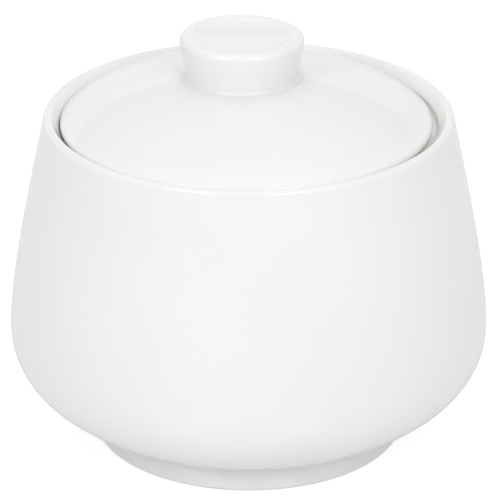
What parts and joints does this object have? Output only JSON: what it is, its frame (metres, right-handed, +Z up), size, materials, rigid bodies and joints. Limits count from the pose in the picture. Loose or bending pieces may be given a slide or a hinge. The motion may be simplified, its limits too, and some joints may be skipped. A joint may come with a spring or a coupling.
{
  "type": "sugar bowl with lid",
  "caption": "Round glazed porcelain sugar bowl that swells to a low belly above a turned foot ring, with a loose domed lid sunk in its mouth and lifted by a dished knob.",
  "frame": {"origin": "middle of the foot ring's contact plane, on the bowl's axis", "axes": "+Z up along the bowl's axis, -Y towards the picture's camera, +X to the right in the picture"},
  "size_m": [0.105, 0.105, 0.0919],
  "materials": {
    "bowl": "clear gloss glaze on white porcelain",
    "foot_ring": "gloss glaze, with a bare matt contact face",
    "lid": "clear gloss glaze on white porcelain",
    "lid_flange": "bare matt porcelain",
    "knob": "clear gloss glaze on white porcelain"
  },
  "bodies": {
    "bowl": {"bowl": "bowl", "foot_ring": "foot_ring"},
    "lid": {"lid": "lid", "lid_flange": "lid_flange", "knob": "knob"}
  },
  "joints": [
    {"name": "lid_lift", "type": "slide", "parent": "bowl", "child": "lid", "axis": [0, 0, 1], "range_m": [0, 0.04]}
  ]
}
